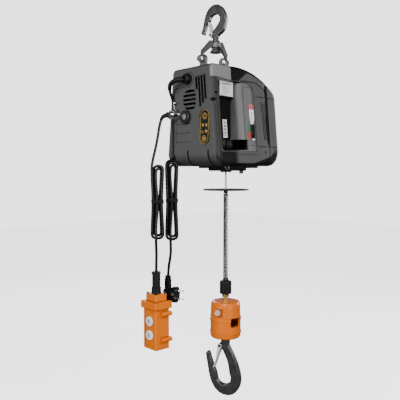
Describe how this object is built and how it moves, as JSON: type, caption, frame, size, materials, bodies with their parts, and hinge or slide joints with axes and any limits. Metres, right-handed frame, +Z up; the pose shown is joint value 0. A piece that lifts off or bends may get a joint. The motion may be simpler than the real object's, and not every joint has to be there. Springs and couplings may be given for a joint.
{
  "type": "electric wire-rope hoist",
  "caption": "Portable electric wire-rope hoist hung by a swivelling top hook, with buffer-sprung orange hook block, two-button pendant and mains cord.",
  "frame": {"origin": "centre of the top hook's bowl, where the support carries the hoist", "axes": "+Z up along the hook's shank; X along the motor and drum shafts, with the vented end cover at -X; the hand-hold face looks towards -Y"},
  "size_m": [0.297, 0.1779, 0.9255],
  "materials": {
    "black_plastic": "satin black moulded plastic",
    "dark_grey_plastic": "fine matt dark grey plastic",
    "orange_plastic": "orange moulded plastic",
    "white_plastic": "white button plastic",
    "black_rubber": "black rubber",
    "cord_rubber": "black cord sheath",
    "forged_steel": "dark grey forged steel",
    "zinc_steel": "bright zinc plate",
    "rope_steel": "wire rope",
    "black_steel": "black painted steel",
    "spring_steel": "grey spring wire",
    "chrome": "polished chrome",
    "orange_paint": "orange paint",
    "brass": "yellow passivated brass",
    "copper_winding": "varnished copper winding",
    "electrical_steel": "laminated electrical steel",
    "aluminium_case": "plain aluminium can",
    "label_film": "black label with a gold border"
  },
  "bodies": {
    "top_hook": {"top_hook": "forged_steel", "top_hook_nut": "black_steel"},
    "top_latch": {"top_latch": "zinc_steel"},
    "bail": {"bail": "forged_steel"},
    "casing": {"front_shell": "black_plastic", "rear_shell": "black_plastic", "vent_end_cover": "dark_grey_plastic", "top_cap": "dark_grey_plastic", "inner_housing": "black_plastic", "bottom_foot": "black_plastic", "rope_bush": "black_rubber", "chassis_frame": "zinc_steel", "tie_rods": "zinc_steel", "lifting_lugs": "zinc_steel", "bail_bolts": "zinc_steel", "motor_stator": "electrical_steel", "motor_windings": "copper_winding", "shaft_bearings": "zinc_steel", "brake_housing": "black_steel", "run_capacitor": "aluminium_case", "limit_switch": "black_plastic", "mains_gland": "black_rubber", "pendant_connector": "chrome", "round_cap": "dark_grey_plastic", "nameplate": "label_film", "case_screws": "black_steel", "pendant_front_shell": "orange_plastic", "pendant_rear_shell": "orange_plastic", "pendant_cap": "orange_plastic", "pendant_sleeve": "black_rubber", "pendant_switch_block": "black_plastic", "pendant_cord": "cord_rubber", "pendant_cord_hank": "cord_rubber", "mains_cord": "cord_rubber", "mains_cord_hank": "cord_rubber", "mains_plug": "black_rubber", "mains_plug_pins": "chrome"},
    "rotor": {"rotor": "electrical_steel", "motor_fan": "black_plastic"},
    "layshaft_a": {"layshaft_a": "zinc_steel"},
    "layshaft_b": {"layshaft_b": "zinc_steel"},
    "drum": {"rope_drum": "black_steel", "drum_gear": "zinc_steel", "wound_rope": "rope_steel"},
    "block": {"rope_fall": "rope_steel", "limit_spring": "spring_steel", "rope_bumper": "black_rubber", "rope_ferrule": "brass", "block_half_front": "orange_paint", "block_half_rear": "orange_paint", "block_bolts": "black_steel", "hook_thrust_bearing": "zinc_steel"},
    "limit_disc": {"limit_disc": "black_rubber"},
    "limit_plunger": {"limit_plunger": "chrome"},
    "load_hook": {"load_hook": "forged_steel", "load_hook_nut": "black_steel"},
    "load_latch": {"load_latch": "zinc_steel"},
    "button_up": {"button_up": "white_plastic"},
    "button_down": {"button_down": "white_plastic"}
  },
  "joints": [
    {"name": "hook_swivel", "type": "hinge", "parent": "top_hook", "child": "bail", "pos_m": [0, 0, -0.0596], "axis": [0, 0, 1], "continuous": true},
    {"name": "bail_pivot", "type": "hinge", "parent": "bail", "child": "casing", "pos_m": [0, 0.0079, -0.0942], "axis": [1, 0, 0], "range_deg": [-25, 25]},
    {"name": "top_latch_hinge", "type": "hinge", "parent": "top_hook", "child": "top_latch", "pos_m": [-0.00325, 0.00893, -0.036], "axis": [-0.9397, -0.342, 0], "range_deg": [-22, 0], "stiffness_Nm_per_rad": 0.02, "springref_deg": 28.65},
    {"name": "rotor_spin", "type": "hinge", "parent": "casing", "child": "rotor", "pos_m": [0, 0, -0.19], "axis": [1, 0, 0], "range_deg": [-4650, 1752]},
    {"name": "layshaft_a_spin", "type": "hinge", "parent": "casing", "child": "layshaft_a", "pos_m": [0.08, 0.022, -0.2104], "axis": [1, 0, 0], "range_deg": [-585, 1556]},
    {"name": "layshaft_b_spin", "type": "hinge", "parent": "casing", "child": "layshaft_b", "pos_m": [0.08, 0.02694, -0.24907], "axis": [1, 0, 0], "range_deg": [-468, 176]},
    {"name": "drum_spin", "type": "hinge", "parent": "casing", "child": "drum", "pos_m": [0, 0, -0.29], "axis": [1, 0, 0], "range_deg": [-58.3, 155]},
    {"name": "block_travel", "type": "slide", "parent": "casing", "child": "block", "axis": [0, 0, 1], "range_m": [-0.0955, 0.0358]},
    {"name": "limit_disc_slide", "type": "slide", "parent": "block", "child": "limit_disc", "axis": [0, 0, 1], "range_m": [-0.06, 0], "stiffness_N_per_m": 150, "springref_m": 0.012, "deforming": ["limit_spring"]},
    {"name": "limit_plunger_slide", "type": "slide", "parent": "casing", "child": "limit_plunger", "axis": [0, 0, 1], "range_m": [0, 0.005], "stiffness_N_per_m": 300, "springref_m": -0.003},
    {"name": "load_hook_swivel", "type": "hinge", "parent": "block", "child": "load_hook", "pos_m": [0, -0.035, -0.745], "axis": [0, 0, 1], "continuous": true},
    {"name": "load_latch_hinge", "type": "hinge", "parent": "load_hook", "child": "load_latch", "pos_m": [-0.00504, -0.02466, -0.771], "axis": [-0.8988, -0.4384, 0], "range_deg": [0, 24], "stiffness_Nm_per_rad": 0.03, "springref_deg": -28.65},
    {"name": "button_up_press", "type": "slide", "parent": "casing", "child": "button_up", "axis": [1, 0, 0], "range_m": [0, 0.003], "stiffness_N_per_m": 300, "springref_m": -0.002},
    {"name": "button_down_press", "type": "slide", "parent": "casing", "child": "button_down", "axis": [1, 0, 0], "range_m": [0, 0.003], "stiffness_N_per_m": 300, "springref_m": -0.002}
  ],
  "couplings": [
    {"joint": "rotor_spin", "follows": "drum_spin", "ratio": -30},
    {"joint": "layshaft_a_spin", "follows": "drum_spin", "ratio": 10},
    {"joint": "layshaft_b_spin", "follows": "drum_spin", "ratio": -3},
    {"joint": "block_travel", "follows": "drum_spin", "m_per_rad": -0.035}
  ]
}
